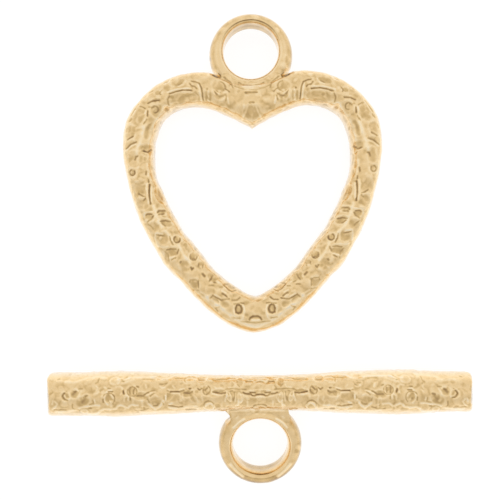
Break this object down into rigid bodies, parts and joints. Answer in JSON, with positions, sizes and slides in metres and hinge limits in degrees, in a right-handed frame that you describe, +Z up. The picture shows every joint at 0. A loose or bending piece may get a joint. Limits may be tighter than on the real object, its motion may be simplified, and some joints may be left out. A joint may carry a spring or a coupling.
{
  "type": "heart toggle clasp",
  "caption": "Heart-shaped hammered toggle clasp, unfastened: an open heart frame and an hourglass toggle bar, each with a cast-on round loop.",
  "frame": {"origin": "bottom centre of the box round both halves, on the surface they lie on", "axes": "+Z up from the surface, +Y from the toggle bar towards the heart's loop, +X to the right along the bar"},
  "size_m": [0.0228, 0.0254, 0.0024],
  "materials": {
    "heart_gold": "bright pale gold plating, hammered",
    "bar_gold": "bright pale gold plating, hammered"
  },
  "bodies": {
    "root": {"heart_frame": "heart_gold", "toggle_bar": "bar_gold"}
  },
  "joints": []
}
